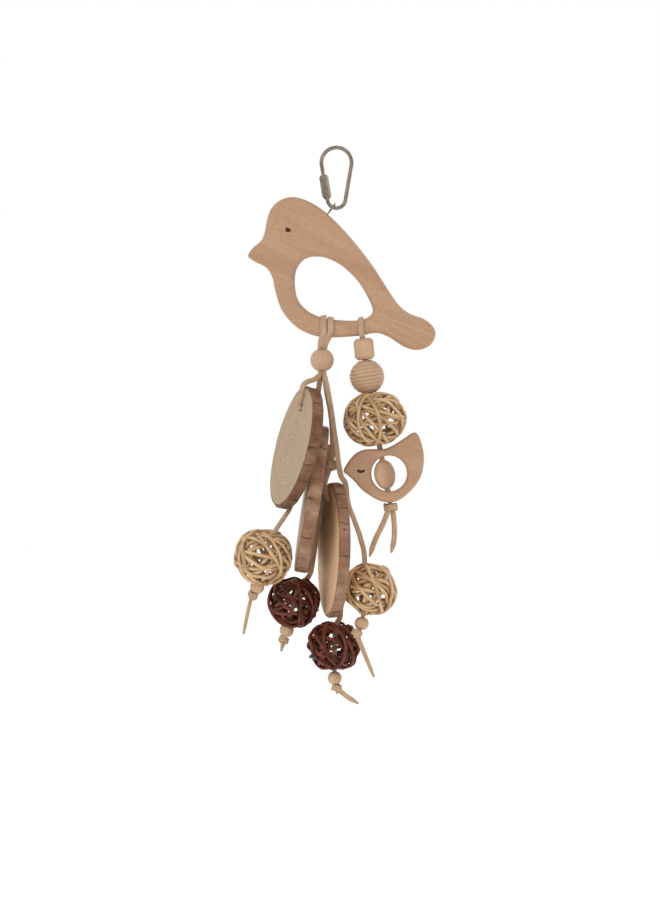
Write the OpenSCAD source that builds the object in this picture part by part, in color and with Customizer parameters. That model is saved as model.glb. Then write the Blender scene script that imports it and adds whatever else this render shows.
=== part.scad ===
// Hanging crib mobile: a beech bird on a quick link, with leather laces that carry
// beads, rattan balls, wood slices and a small bird. Millimetres, +Z up, -Y is the front.
// The origin is the point inside the top of the link where the mobile hangs.

/* [Quick link] */
// Diameter of the link's steel wire
link_wire_d = 2.2; // [1.9:0.1:2.3]
// Radius of the wide top bend, to the wire's centre line
link_top_r = 8.6; // [8:0.1:9.2]
// Radius of the narrow bottom bend, to the wire's centre line
link_bottom_r = 5.1; // [4.8:0.1:5.3]
// Length of the sleeve nut that closes the link
nut_len = 13.6; // [12:0.2:14]
// Width of the nut across its corners
nut_d = 5.2; // [4.6:0.1:6]

/* [Beech bird] */
// Thickness of the large bird
bird_t = 10; // [9:0.5:10.5]
// Radius of the large bird's rounded edges
bird_edge_r = 3; // [2.6:0.2:3.4]
// Thickness of the small bird
chick_t = 9; // [8:0.5:10]
// Radius of the small bird's rounded edges
chick_edge_r = 1.8; // [1.4:0.1:1.9]
// Radius of the round window in the small bird
chick_window_r = 10.2; // [9.6:0.2:10.4]

/* [Beads] */
// Diameter of the plain round bead that gathers the left laces
round_bead_d = 13.5; // [12.5:0.5:14.5]
// Width of the cut-corner bead
facet_bead_w = 11.2; // [10:0.2:12]
// Height of the cut-corner bead
facet_bead_h = 12; // [11:0.5:12]
// Diameter of the grooved bead
grooved_bead_d = 19.8; // [19:0.2:20]
// Diameter of the coin bead in the small bird's window
coin_bead_d = 16.8; // [16:0.2:17]
// Thickness of the coin bead
coin_bead_t = 6; // [5.8:0.2:6.4]
// Diameter of the little bead under each rattan ball
stop_bead_d = 8.2; // [7.4:0.2:8.6]

/* [Rattan balls] */
// Diameter of the cane that the balls are woven from
cane_d = 1.6; // [1.2:0.1:1.8]

/* [Wood slices] */
// Diameter of the hole that a lace passes through
slice_hole_d = 4.6; // [4.2:0.2:5]

/* [Laces] */
// Diameter of a lace with its section taken as round
lace_width = 2.2; // [1.8:0.1:2.2]

/* [Hidden] */
$fn = 48;

steel = "#8f877c";
beech = "#c79d77";
pale_wood = "#d9b78e";
cane = "#dcc08c";
dark_cane = "#5b2c1b";
leather = "#b8977a";
bark = "#8c5f45";
ink = "#3a1f14";

gap = 0.1;          // running clearance on a round fit
lace_sides = 8;

// The link's arms lean outwards by this angle and touch both bends
link_top_z = link_wire_d / 2 - link_top_r;
link_bottom_z = -28.3;
link_lean = asin((link_top_r - link_bottom_r) / (link_top_z - link_bottom_z));
arm_len = (link_top_z - link_bottom_z) * cos(link_lean);
nut_start = 1;      // from the arm's foot to the closed nut
wire_gap = [2, 5.2]; // the opening in the left arm, from the arm's foot

// The screw eye's ring, its shank's direction and the depth of the thread
eye_centre = [-2.3, 0, -33.1];
eye_dir = [0.6, 0, 0.8];
eye_r = 2.45;
eye_wire_d = 1;
shank_len = 13;
shank_d = 1.4;

// Outlines run clockwise as seen from the front, as [x, z]
bird_points = [[-24, -27.3], [-15.5, -30], [-6, -36.2], [6.5, -48.6], [20, -65.6], [31, -82.6],
    [36.3, -89.6], [42, -93.8], [49.5, -96.6], [54.8, -100.8], [56.3, -106], [53.2, -111.8],
    [46, -114.3], [38.5, -112.4], [30, -107], [22.5, -104.6], [12, -106.2], [-2, -107.1],
    [-13, -106], [-23, -101], [-31, -92], [-34.8, -81], [-36.6, -73], [-40, -67.4],
    [-46, -64.2], [-50, -61.6], [-50, -59.6], [-47.2, -55.8], [-43, -52.2], [-40.8, -47],
    [-39.6, -40.5], [-37, -33.6], [-31.6, -28.9]];
bird_window = [[-10, -61], [-3, -62.9], [4, -66.9], [12.6, -75.5], [18.7, -86], [20.6, -92.3],
    [17, -96.3], [10, -97.6], [0, -97.2], [-9, -95.6], [-16.5, -92], [-22, -85.5],
    [-23.7, -76], [-22.5, -67.8], [-17.5, -62.2]];
chick_points = [[4, -183.4], [6.2, -178.8], [10.3, -173.8], [15.5, -171.2], [21.5, -170.8],
    [27.5, -170.6], [33.2, -168.1], [38.3, -164.8], [43, -161.7], [45.4, -161.5], [47.2, -164.2],
    [49.3, -171], [49.7, -178], [48.5, -185], [46, -190], [41.5, -195.3], [36, -199.6],
    [31, -201.1], [26, -200.6], [20.9, -198.4], [14.7, -194.1], [9.5, -188.4], [6, -185.4]];
chick_window_centre = [30, -184.7];
window_chamfer = 1.2;
bird_eye = [-27.6, -46.3];
bird_eye_d = 2.8;
chick_eye = [14.1, -182.2];
eye_depth = 0.8;

// Left laces go round the bar under the bird's window
bar_centre_z = -101.6;
loop_r = 7.6;
loop_xs = [-7.1, -3.1];
round_bead_centre = [-8.2, 0, -120.1];
bead_bore_d = 5.9;
leg_xs = [-9.35, -7.05];
leg_y = 1.2;

// The right string: its two laces bend at the beads and then follow one leaning line
string_lean = 10.3;
string_bore_d = 5;
string_lace_y = 1.15; // half the distance between the string's two laces
facet_centre = [15.7, 0, -113.8];
facet_lean = 6;
facet_cut = 1.24 * facet_bead_w; // width across the cut edges
grooved_centre = [17.4, 0, -129.6];
ball_e_at = 24.3;     // distances down the line from the grooved bead's centre
coin_at = 56.6;
coin_turn = 52;
end_knot_at = 74.9;
string_route = [[15.1, -108.4], [16.4, -120.2], [17.4, -129.6], [21.74, -153.5], [27.6, -185.7],
    [30.7, -202.8]];

// Slices: [centre, lean, turn, radius, thickness, hole height, wobble phase]
slice_specs = [[[-22.7, -5, -170], 14.3, 16, 35.3, 6.5, 22.4, 0],
    [[-14.3, 11, -199.7], 8.4, 2, 42, 8, 32, 40],
    [[-1.6, 6, -228.4], 1.5, 9.6, 38, 6.6, 29, 90]];

// Balls: [centre, lean of the axis, radius, turn about the axis]
ball_specs = [[[-41.6, -8, -231.9], 17.6, 16.2, 0], [[-24.3, 11, -258.5], 16.3, 15.2, 0],
    [[-1.1, 6, -283.4], 0, 15.6, 0], [[19.4, 0, -250.6], 3, 16, 25],
    [grooved_centre + ball_e_at * [sin(string_lean), 0, -cos(string_lean)], -string_lean, 16.8, 0]];

// Lace routes, each from the round bead down to the cut end
route_a = [[-9.4, -1.2, -127.6], [-10.2, -1.8, -129.2], [-12.7, -3.2, -131.2], [-16.3, -4.9, -132.4],
    [-18.9, -6, -134.7], [-20.3, -6.4, -140.7], [-21.4, -6.4, -145], [-20.4, -6, -147.1],
    [-13.9, -4, -149.4], [-13.2, -3.6, -151.8], [-14.6, -3.5, -158.6], [-19, -3.4, -175.1],
    [-24.5, -3.5, -196.4], [-26.3, -3.9, -204.1], [-29.2, -5.3, -208.9], [-35, -7.6, -217.7],
    [-41.6, -8, -231.9], [-45.9, -8, -247.5], [-47.6, -8, -252.5], [-50, -8.4, -262],
    [-52.8, -8.6, -275.8]];
route_b = [[-9.3, 1.2, -127.6], [-10.4, 4, -138], [-12.6, 8, -149], [-14, 10.3, -156.8],
    [-14.7, 10.8, -163.6], [-13.9, 11, -167.1], [-5.3, 11.1, -169], [-4.4, 11.4, -172.3],
    [-5.4, 11.5, -180.8], [-8.3, 11.5, -200.6], [-12.5, 11.5, -228.2], [-14.7, 11.4, -241.1],
    [-17.2, 11.2, -245.4], [-21, 11, -249.4], [-24.3, 11, -258.5], [-28.4, 11, -273.4],
    [-30, 11, -279.6], [-31.8, 10.8, -287]];
route_c = [[-7, 1.2, -127.6], [-5.6, 2, -138], [-3.3, 3, -150], [-2.3, 3.6, -163],
    [-2.6, 4.2, -177], [-4.7, 4.5, -184], [-6.6, 5, -190.3], [-6.1, 5.2, -195.8],
    [-4.6, 5.5, -199], [2.9, 6.5, -199.9], [4.1, 6.7, -203], [3.8, 6.8, -212.5],
    [3.3, 6.8, -233.5], [2.5, 6.6, -261.5], [2, 6.6, -267.2], [-0.2, 6.1, -271.6],
    [-1.1, 6, -283.4], [-1, 6, -300.5], [0, 5.8, -306.6], [5, 5, -311.5], [12.6, 4, -316.3]];
route_d = [[-7, -1.2, -127.6], [-4.9, -2, -138], [-3, -2.6, -149], [-1.4, -3, -160],
    [0.2, -3, -171], [1.4, -2.6, -181], [2.8, -1.1, -186.6], [4.7, 1, -189.4],
    [5.6, 1.9, -193.1], [6.1, 2, -198.6], [7.5, 1.4, -204.4], [10.4, 0.5, -212],
    [13.8, -0.1, -222], [16, -0.7, -234.5], [15, -2.6, -267], [13.4, -5, -272.5],
    [11.3, -6.6, -275.2], [14.6, -8.4, -283.5], [21.2, -9.4, -300]];
route_tail_left = [[29.3, -1, -206.4], [26.6, -2.4, -213], [22, -2.6, -222.5], [18.8, -2.4, -232]];
route_tail_right = [[33.4, 1, -206.6], [33, 1.6, -214], [32.8, 1.6, -222.5], [31.2, 1.4, -230]];
bead_at = [[-45, -8, -249], [-28.6, 11, -274.8], [-1, 6, -301.8], [14.3, -3.7, -269.9]];
bead_lean = [16, 15, 0, 14];
knot_at = [[-47.4, -8, -253.6], [-30.1, 11, -280.2], [0, 5.9, -307.4], [11.3, -6.6, -275]];

// ---- curves and outlines ----

// A point on the smooth curve between b and c
function between(a, b, c, d, t) = b + 0.5 * t * ((c - a) + t * ((2 * a - 5 * b + 4 * c - d)
    + t * (3 * (b - c) + d - a)));

// A closed smooth curve through the given points
function closed_curve(pts, steps) = let (n = len(pts))
    [for (i = [0:n - 1], k = [0:steps - 1])
        between(pts[(i + n - 1) % n], pts[i], pts[(i + 1) % n], pts[(i + 2) % n], k / steps)];

// How far the outline can move inwards at b before its own bend closes up
function bend_room(a, b, c) = let (turn = cross(b - a, c - b))
    turn >= 0 ? 1000 : 0.7 * norm(b - a) * norm(c - b) * norm(c - a) / (2 * abs(turn));

// A clockwise outline moved inwards, less where it bends tightly
function moved_in(pts, d, full) = let (n = len(pts)) [for (i = [0:n - 1])
    let (a = pts[(i + n - 1) % n], b = pts[i], c = pts[(i + 1) % n], along = (c - a) / norm(c - a),
        share = full > 0 ? min(1, bend_room(a, b, c) / full) : 1)
    b + d * share * [along.y, -along.x]];

// [y, inset] from the front face to the back one, with quarter-round edges
function round_edge(t, r, steps) = concat(
    [for (k = [steps:-1:0]) [-(t / 2 - r) - r * sin(90 * k / steps), r * (1 - cos(90 * k / steps))]],
    [for (k = [0:steps]) [t / 2 - r + r * sin(90 * k / steps), r * (1 - cos(90 * k / steps))]]);

// A plate with the outline's shape, stacked from moved copies of the outline
module stacked_plate(pts, levels, full) {
    n = len(pts);
    m = len(levels);
    rings = [for (l = levels) [for (p = moved_in(pts, l[1], full)) [p.x, l[0], p.y]]];
    polyhedron(
        points = [for (r = rings) each r],
        faces = concat([[for (i = [0:n - 1]) i]], [[for (i = [n - 1:-1:0]) (m - 1) * n + i]],
            [for (k = [0:m - 2], i = [0:n - 1])
                [k * n + i, (k + 1) * n + i, (k + 1) * n + (i + 1) % n, k * n + (i + 1) % n]]));
}

// The cutter for a window whose edges are rounded over
module window_cutter(pts, t, r, steps) {
    inner = [for (l = round_edge(t, r, steps)) [l[0], -l[1]]];
    stacked_plate(pts, concat([[-t / 2 - 1, -r]], inner, [[t / 2 + 1, -r]]), 0);
}

// A tube swept along a route
module tube(route, d, sides = lace_sides) {
    n = len(route);
    rings = [for (i = [0:n - 1])
        let (t0 = route[min(i + 1, n - 1)] - route[max(i - 1, 0)], t = t0 / norm(t0),
            u0 = cross(t, [0, 1, 0.01]), u = u0 / norm(u0), v = cross(t, u))
        [for (k = [0:sides - 1]) let (a = 360 * (k + 0.5) / sides)
            route[i] + d / 2 * (cos(a) * u + sin(a) * v)]];
    polyhedron(
        points = [for (r = rings) each r],
        faces = concat([[for (k = [0:sides - 1]) k]],
            [[for (k = [sides - 1:-1:0]) (n - 1) * sides + k]],
            [for (i = [0:n - 2], k = [0:sides - 1])
                [i * sides + k, (i + 1) * sides + k,
                    (i + 1) * sides + (k + 1) % sides, i * sides + (k + 1) % sides]]));
}

// A straight round rod from p to q
module rod(p, q, d) {
    v = q - p;
    translate(p) rotate([0, acos(v.z / norm(v)), atan2(v.y, v.x)]) cylinder(h = norm(v), d = d);
}

// Places children on the right string's line, at a distance below the grooved bead's centre
module on_string(s)
    translate(grooved_centre) rotate([0, -string_lean, 0]) translate([0, 0, -s]) children();

module turned_bead(d, h, bore) {
    difference() {
        intersection() {
            sphere(d = d);
            cube([d + 1, d + 1, h], center = true);
        }
        cylinder(h = d + 2, d = bore, center = true);
    }
}

// ---- quick link ----

function arm_point(side, s) = [side * (link_bottom_r * cos(link_lean) + s * sin(link_lean)), 0,
    link_bottom_z - link_bottom_r * sin(link_lean) + s * cos(link_lean)];

function arc_points(z, r, from, to, steps) = [for (k = [0:steps])
    let (a = from + (to - from) * k / steps) [r * cos(a), 0, z + r * sin(a)]];

// One wire: from the gap down round the bottom, up the right arm, over the top and back
module quick_link() color(steel) tube(concat(
    [arm_point(-1, wire_gap[0])],
    arc_points(link_bottom_z, link_bottom_r, 180 + link_lean, 360 - link_lean, 14),
    arc_points(link_top_z, link_top_r, -link_lean, 180 + link_lean, 20),
    [arm_point(-1, wire_gap[1])]), link_wire_d, 16);

module link_nut() color(steel)
    translate(arm_point(-1, nut_start)) rotate([0, -link_lean, 0]) difference() {
        intersection() {
            cylinder(h = nut_len, d = nut_d, $fn = 6);
            rotate_extrude() polygon([[0, 0], [nut_d / 2 - 0.9, 0], [nut_d / 2, 1.8],
                [nut_d / 2, nut_len - 1.2], [nut_d / 2 - 0.6, nut_len], [0, nut_len]]);
        }
        translate([0, 0, -1]) cylinder(h = nut_len + 2, d = link_wire_d + gap);
    }

module screw_eye() color(steel) {
    foot = eye_centre - (eye_r + shank_len) * eye_dir;
    translate(eye_centre) rotate([0, 180 - acos(0.6), 0])
        rotate_extrude() translate([eye_r, 0]) circle(d = eye_wire_d, $fn = 32);
    rod(foot, eye_centre - eye_r * eye_dir, eye_wire_d);
    rod(foot, foot + 8 * eye_dir, shank_d);
}

// ---- the large bird ----

module beech_bird() color(beech) {
    foot = eye_centre - (eye_r + shank_len + 0.5) * eye_dir;
    outline = closed_curve(bird_points, 3);
    window = closed_curve(bird_window, 4);
    difference() {
        stacked_plate(outline, round_edge(bird_t, bird_edge_r, 3), bird_edge_r);
        window_cutter(window, bird_t, bird_edge_r, 3);
        rod(foot, foot + 20 * eye_dir, shank_d + gap);
        for (side = [-1, 1]) translate([bird_eye.x, side * bird_t / 2, bird_eye.y])
            rotate([90, 0, 0]) cylinder(h = 2 * eye_depth + gap, d = bird_eye_d + gap, center = true);
    }
}

module bird_eyes() color(ink)
    for (side = [-1, 1])
        translate([bird_eye.x, side * (bird_t / 2 - eye_depth / 2), bird_eye.y])
            rotate([90, 0, 0]) cylinder(h = eye_depth, d = bird_eye_d, center = true);

// ---- laces at the bar ----

function bar_loop(r, x, from, to, steps) = [for (k = [0:steps])
    let (a = from + (to - from) * k / steps) [x, r * cos(a), bar_centre_z + r * sin(a)]];

function left_loop(i) = concat(
    [[leg_xs[i], -leg_y, -126.6], [leg_xs[i], -leg_y, -114]],
    bar_loop(loop_r, loop_xs[i], 213, -33, 7),
    [[leg_xs[i], leg_y, -114], [leg_xs[i], leg_y, -126.6]]);

module left_loop_outer() color(leather) tube(left_loop(0), lace_width);
module left_loop_inner() color(leather) tube(left_loop(1), lace_width);

module right_loop() color(leather)
    tube(bar_loop(7, 13.8, 218, -38, 9), lace_width);

module round_bead() color(pale_wood)
    translate(round_bead_centre) turned_bead(round_bead_d, round_bead_d - 1.2, bead_bore_d);

// ---- hanging laces ----

module lace_a() color(leather) tube(route_a, lace_width);
module lace_b() color(leather) tube(route_b, lace_width);
module lace_c() color(leather) tube(route_c, lace_width);
module lace_d() color(leather) tube(route_d, lace_width);

module knot(d, h) rotate_extrude($fn = 24)
    polygon([for (a = [-90:22.5:90]) [max(0, d / 2 * cos(a)), h / 2 * sin(a)]]);

module lace_knot(i, h) color(leather)
    translate(knot_at[i]) rotate([0, bead_lean[i], 0]) knot(6.2, h);

module knot_a() lace_knot(0, 4.4);
module knot_b() lace_knot(1, 4.6);
module knot_c() lace_knot(2, 5);
module knot_d() lace_knot(3, 4.4);
module slice_knot() color(leather) translate([-2.7, 4.2, -179.6]) rotate([0, 20, 0]) knot(7, 6);

module stop_bead(i) color(pale_wood)
    translate(bead_at[i]) rotate([0, bead_lean[i], 0]) turned_bead(stop_bead_d, 6.6, 3.4);
module stop_bead_a() stop_bead(0);
module stop_bead_b() stop_bead(1);
module stop_bead_c() stop_bead(2);
module stop_bead_d() stop_bead(3);

// ---- wood slices ----

module slice(i) {
    s = slice_specs[i];
    outline = [for (a = [0:7.5:352.5]) s[3] * (1 + 0.008 * sin(2 * a + s[6]) + 0.006 * sin(3 * a))
        * [-cos(a), sin(a)]];
    color(bark) translate(s[0]) rotate([0, s[1], 0]) rotate([0, 0, s[2]]) difference() {
        rotate([0, 90, 0]) linear_extrude(s[4], center = true) polygon(outline);
        translate([0, 0, s[5]]) rotate([0, 90, 0])
            cylinder(h = s[4] + 2, d = slice_hole_d, center = true);
    }
}
module slice_a() slice(0);
module slice_b() slice(1);
module slice_c() slice(2);

// ---- rattan balls ----

// Rings of cane in two layers: six lie round the faces of a cube and eight round its corners
module rattan_ball(i) {
    s = ball_specs[i];
    outer_r = s[2] - cane_d / 2;
    inner_r = outer_r - cane_d - 0.2;
    module cane_ring(r, half) translate([0, 0, r * cos(half)])
        rotate_extrude() translate([r * sin(half), 0]) circle(d = cane_d, $fn = 24);
    translate(s[0]) rotate([0, s[1], 0]) rotate([0, 0, s[3]]) {
        for (a = [0, 180]) rotate([a, 0, 0]) cane_ring(outer_r, 40);
        for (a = [0:90:270]) rotate([0, 0, a]) rotate([90, 0, 0]) cane_ring(outer_r, 40);
        for (a = [45:90:315], up = [-1, 1])
            rotate([0, 0, a]) rotate([0, 90 - up * 35.26, 0]) cane_ring(inner_r, 30);
    }
}
module rattan_ball_a() color(cane) rattan_ball(0);
module rattan_ball_b() color(dark_cane) rattan_ball(1);
module rattan_ball_c() color(dark_cane) rattan_ball(2);
module rattan_ball_d() color(cane) rattan_ball(3);
module rattan_ball_e() color(cane) rattan_ball(4);

// ---- the right string ----

module facet_bead() color(pale_wood)
    translate(facet_centre) rotate([0, -facet_lean, 0]) difference() {
        intersection() {
            cube([facet_bead_w, facet_bead_w, facet_bead_h], center = true);
            rotate([0, 0, 45]) cube([facet_cut, facet_cut, 2 * facet_bead_h], center = true);
            rotate([45, 0, 0]) cube(facet_cut, center = true);
            rotate([0, 45, 0]) cube(facet_cut, center = true);
        }
        cylinder(h = facet_bead_h + 2, d = string_bore_d, center = true);
    }

// Depth of the turned grooves at height z on the bead
function groove(z) = 0.35 * pow(max(0, cos(360 * z / 2.1)), 3);

module grooved_bead() color(pale_wood) on_string(0) {
    r = grooved_bead_d / 2;
    top = sqrt(r * r - pow(string_bore_d / 2, 2));
    steps = 52;
    rotate_extrude() polygon(concat([[string_bore_d / 2, -top + 0.4]],
        [for (k = [1:steps - 1]) let (z = top * (2 * k / steps - 1))
            [sqrt(r * r - z * z) - groove(z), z]], [[string_bore_d / 2, top - 0.4]]));
}

module string_lace() color(leather) for (side = [-1, 1])
    tube([for (p = string_route) [p.x, side * string_lace_y, p.y]], lace_width);

// The cutter for the small bird's round window, with its edges cut at 45 degrees
module round_window() translate([chick_window_centre.x, 0, chick_window_centre.y]) rotate([90, 0, 0]) {
    start = chick_t / 2 - window_chamfer;
    over = 0.5;     // the cones go this far past the faces
    cylinder(h = chick_t + 2, r = chick_window_r, center = true);
    for (side = [0, 180]) rotate([side, 0, 0]) translate([0, 0, start])
        cylinder(h = window_chamfer + over, r1 = chick_window_r, r2 = chick_window_r + window_chamfer + over);
}

module chick() color(beech) difference() {
    stacked_plate(closed_curve(chick_points, 3), round_edge(chick_t, chick_edge_r, 3), chick_edge_r);
    round_window();
    on_string(coin_at) cylinder(h = 60, d = string_bore_d, center = true);
    for (side = [-1, 1]) eye_mark(side, gap);
}

// A closed eyelid: a short arc set into each face
module eye_mark(side, extra) translate([chick_eye.x, side * (chick_t / 2 - eye_depth / 2), chick_eye.y])
    rotate([90, 0, 0]) rotate([0, 0, 190]) rotate_extrude(angle = 160)
        translate([1.5, 0]) square([0.7 + extra, eye_depth + extra], center = true);

module chick_eyes() color(ink) for (side = [-1, 1]) eye_mark(side, 0);

// A flat round bead, drilled along a diameter, that has turned about its lace
module coin_bead() color(pale_wood) on_string(coin_at) rotate([0, 0, coin_turn]) difference() {
    intersection() {
        sphere(d = coin_bead_d);
        cube([coin_bead_d + 1, coin_bead_t, coin_bead_d + 1], center = true);
    }
    cylinder(h = coin_bead_d + 2, d = string_bore_d, center = true);
}

module end_knot() color(leather) on_string(end_knot_at) knot(8.4, 3.6);
module tail_left() color(leather) tube(route_tail_left, lace_width);
module tail_right() color(leather) tube(route_tail_right, lace_width);

quick_link();
link_nut();
screw_eye();
beech_bird();
bird_eyes();
right_loop();
left_loop_outer();
left_loop_inner();
round_bead();
lace_a();
lace_b();
lace_c();
lace_d();
slice_a();
slice_b();
slice_c();
rattan_ball_a();
rattan_ball_b();
rattan_ball_c();
rattan_ball_d();
rattan_ball_e();
stop_bead_a();
stop_bead_b();
stop_bead_c();
stop_bead_d();
knot_a();
knot_b();
knot_c();
knot_d();
slice_knot();
facet_bead();
grooved_bead();
string_lace();
chick();
chick_eyes();
coin_bead();
end_knot();
tail_left();
tail_right();
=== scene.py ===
"""A hanging crib mobile: a beech bird on a quick link, with suede laces that carry beads,
woven rattan balls, bark-edged wood slices and a small bird. Lengths are in millimetres
until a mesh is made; +Z is up, and -Y is the front."""

import math
import random

import bmesh
import bpy
import numpy as np
from mathutils import Matrix, Vector, noise


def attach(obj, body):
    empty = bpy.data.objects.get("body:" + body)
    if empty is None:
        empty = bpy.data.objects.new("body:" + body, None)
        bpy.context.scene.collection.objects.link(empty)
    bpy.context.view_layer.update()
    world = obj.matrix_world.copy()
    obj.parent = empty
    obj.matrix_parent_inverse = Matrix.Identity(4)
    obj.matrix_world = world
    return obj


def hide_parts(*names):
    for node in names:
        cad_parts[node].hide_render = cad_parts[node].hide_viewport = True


MM = 0.001
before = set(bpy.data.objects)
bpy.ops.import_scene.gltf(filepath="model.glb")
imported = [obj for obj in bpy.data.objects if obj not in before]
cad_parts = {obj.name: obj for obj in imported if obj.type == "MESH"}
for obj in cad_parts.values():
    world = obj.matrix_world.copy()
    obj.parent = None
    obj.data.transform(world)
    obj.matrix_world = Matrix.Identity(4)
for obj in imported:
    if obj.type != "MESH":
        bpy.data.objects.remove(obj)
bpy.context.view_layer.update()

# ---------------- camera, light and floor

VIEW_CENTRE = Vector((-3.7, 0, -171.3))
VIEW_HEIGHT = 513.0
VIEW_DISTANCE = 1500.0
SENSOR = 36.0
FLOOR_REACH = 6.0
FLOOR_Z = -0.48


def add_object(name, data):
    made = bpy.data.objects.new(name, data)
    bpy.context.scene.collection.objects.link(made)
    return made


def add_camera():
    data = bpy.data.cameras.new("camera")
    data.sensor_width = SENSOR
    data.lens = SENSOR * VIEW_DISTANCE / VIEW_HEIGHT
    camera = add_object("camera", data)
    camera.location = (VIEW_CENTRE - Vector((0, VIEW_DISTANCE, 0))) * MM
    camera.rotation_euler = (math.radians(90), 0, 0)
    bpy.context.scene.camera = camera


def add_area_light(name, place, power, size):
    data = bpy.data.lights.new(name, "AREA")
    data.energy = power
    data.size = size
    light = add_object(name, data)
    light.location = place
    aim = VIEW_CENTRE * MM - Vector(place)
    light.rotation_euler = aim.to_track_quat("-Z", "Y").to_euler()


def add_studio():
    world = bpy.data.worlds.new("studio")
    world.use_nodes = True
    sky = world.node_tree.nodes["Background"].inputs
    sky["Color"].default_value = (1, 1, 1, 1)
    sky["Strength"].default_value = 1.0
    bpy.context.scene.world = world
    add_area_light("key", (-0.7, -1.0, 0.45), 2.6, 0.5)
    add_area_light("rim", (0.9, 0.5, 0.5), 1.6, 0.5)
    mesh = bpy.data.meshes.new("floor")
    far = FLOOR_REACH
    mesh.from_pydata([(-far, -far, 0), (far, -far, 0), (far, far, 0), (-far, far, 0)], [],
                     [(0, 1, 2, 3)])
    floor = add_object("floor", mesh)
    floor.location.z = FLOOR_Z
    paint = bpy.data.materials.new("floor_paint")
    paint.use_nodes = True
    inputs = paint.node_tree.nodes["Principled BSDF"].inputs
    inputs["Base Color"].default_value = (0.95, 0.95, 0.95, 1)
    inputs["Roughness"].default_value = 0.9
    inputs["Emission Color"].default_value = (1, 1, 1, 1)
    inputs["Emission Strength"].default_value = 0.2
    mesh.materials.append(paint)
    bpy.context.scene.view_settings.view_transform = "Standard"


add_camera()
add_studio()

# ---------------- material building blocks


def linear(red, green, blue):
    """An sRGB colour from 0 to 255 as Blender's linear RGBA."""
    def channel(c):
        c /= 255
        return c / 12.92 if c <= 0.04045 else ((c + 0.055) / 1.055) ** 2.4
    return (channel(red), channel(green), channel(blue), 1)


class Paint:
    """A material with short ways to add and join its nodes."""

    def __init__(self, name, roughness, specular=0.5, metallic=0.0):
        self.material = bpy.data.materials.new(name)
        self.material.use_nodes = True
        self.tree = self.material.node_tree
        self.shader = self.tree.nodes["Principled BSDF"]
        self.shader.inputs["Roughness"].default_value = roughness
        self.shader.inputs["Specular IOR Level"].default_value = specular
        self.shader.inputs["Metallic"].default_value = metallic

    def node(self, kind, **settings):
        made = self.tree.nodes.new(kind)
        for key, value in settings.items():
            setattr(made, key, value)
        return made

    def feed(self, socket, value):
        if isinstance(value, bpy.types.NodeSocket):
            self.tree.links.new(value, socket)
        else:
            socket.default_value = value

    def grain(self, scale=(1, 1, 1), move=(0, 0, 0)):
        """The piece's own coordinates in millimetres, with x along its grain, scaled per axis."""
        source = self.node("ShaderNodeAttribute", attribute_name="grain")
        mapping = self.node("ShaderNodeMapping")
        self.feed(mapping.inputs["Vector"], source.outputs["Vector"])
        mapping.inputs["Scale"].default_value = scale
        mapping.inputs["Location"].default_value = move
        return mapping.outputs["Vector"]

    def noise(self, vector, scale=1.0, detail=3.0, rough=0.5, distortion=0.0):
        made = self.node("ShaderNodeTexNoise")
        self.feed(made.inputs["Vector"], vector)
        made.inputs["Scale"].default_value = scale
        made.inputs["Detail"].default_value = detail
        made.inputs["Roughness"].default_value = rough
        made.inputs["Distortion"].default_value = distortion
        return made.outputs["Fac"]

    def ramp(self, value, *stops):
        """Colours or greys at places from 0 to 1."""
        made = self.node("ShaderNodeValToRGB")
        self.feed(made.inputs["Fac"], value)
        points = made.color_ramp.elements
        while len(points) < len(stops):
            points.new(0.5)
        for point, (place, colour) in zip(points, stops):
            point.position = place
            point.color = colour if hasattr(colour, "__len__") else (colour, colour, colour, 1)
        return made.outputs["Color"]

    def mix(self, factor, first, second, blend="MIX"):
        made = self.node("ShaderNodeMix", data_type="RGBA", blend_type=blend)
        self.feed(made.inputs["Factor"], factor)
        self.feed(made.inputs["A"], first)
        self.feed(made.inputs["B"], second)
        return made.outputs["Result"]

    def maths(self, operation, first, second=0.0):
        made = self.node("ShaderNodeMath", operation=operation)
        self.feed(made.inputs[0], first)
        self.feed(made.inputs[1], second)
        return made.outputs[0]

    def bump(self, height, distance, strength):
        made = self.node("ShaderNodeBump")
        self.feed(made.inputs["Height"], height)
        made.inputs["Distance"].default_value = distance
        made.inputs["Strength"].default_value = strength
        return made.outputs["Normal"]

    def finish(self, colour, normal=None, roughness=None):
        self.feed(self.shader.inputs["Base Color"], colour)
        if normal is not None:
            self.feed(self.shader.inputs["Normal"], normal)
        if roughness is not None:
            self.feed(self.shader.inputs["Roughness"], roughness)
        return self.material


def beech_wood(name, light, dark, fleck):
    """Fine even wood: soft growth bands, long fine lines and short ray flecks along the grain."""
    p = Paint(name, 0.5, 0.35)
    bands = p.noise(p.grain((0.012, 0.13, 0.13)), 1, 4, 0.55, 0.6)
    colour = p.ramp(bands, (0.3, dark), (0.7, light))
    lines = p.noise(p.grain((0.03, 1.1, 1.1), (7, 3, 1)), 1, 4, 0.65)
    colour = p.mix(p.ramp(lines, (0.42, 0.0), (0.7, 0.6)), colour, dark)
    fibres = p.noise(p.grain((0.16, 3.4, 3.4)), 1, 2, 0.6)
    colour = p.mix(p.ramp(fibres, (0.42, 0.0), (0.72, 0.35)), colour, dark)
    flecks = p.noise(p.grain((0.34, 3.4, 3.4), (11, 5, 2)), 1, 1, 0.4)
    fleck_mask = p.ramp(flecks, (0.6, 0.0), (0.68, 0.5))
    colour = p.mix(fleck_mask, colour, fleck)
    rough = p.ramp(fibres, (0.2, 0.42), (0.8, 0.6))
    relief = p.mix(0.5, fibres, fleck_mask)
    return p.finish(colour, p.bump(relief, 0.00012, 0.35), rough)


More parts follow.
